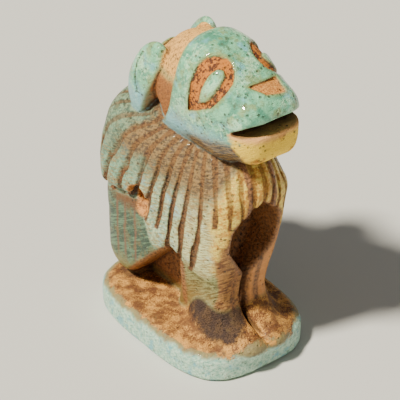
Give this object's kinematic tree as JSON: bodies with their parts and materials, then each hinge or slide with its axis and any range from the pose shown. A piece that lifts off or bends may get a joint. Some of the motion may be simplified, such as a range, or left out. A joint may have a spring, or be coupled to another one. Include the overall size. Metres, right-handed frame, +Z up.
{
  "type": "tawaret amulet",
  "caption": "Small drilled amulet carved as a seated open-mouthed animal with a grooved mane on a rounded plinth.",
  "frame": {"origin": "middle of the plinth's flat underside", "axes": "+Z up out of the plinth towards the head, -Y the way the animal faces, X along the drilled hole"},
  "size_m": [0.0093, 0.0152, 0.0212],
  "materials": {
    "glazed_stone": "thin pale blue-green glaze on carved stone, worn to brown and ochre on the high places and in the grooves"
  },
  "bodies": {
    "root": {"amulet": "glazed_stone"}
  },
  "joints": []
}
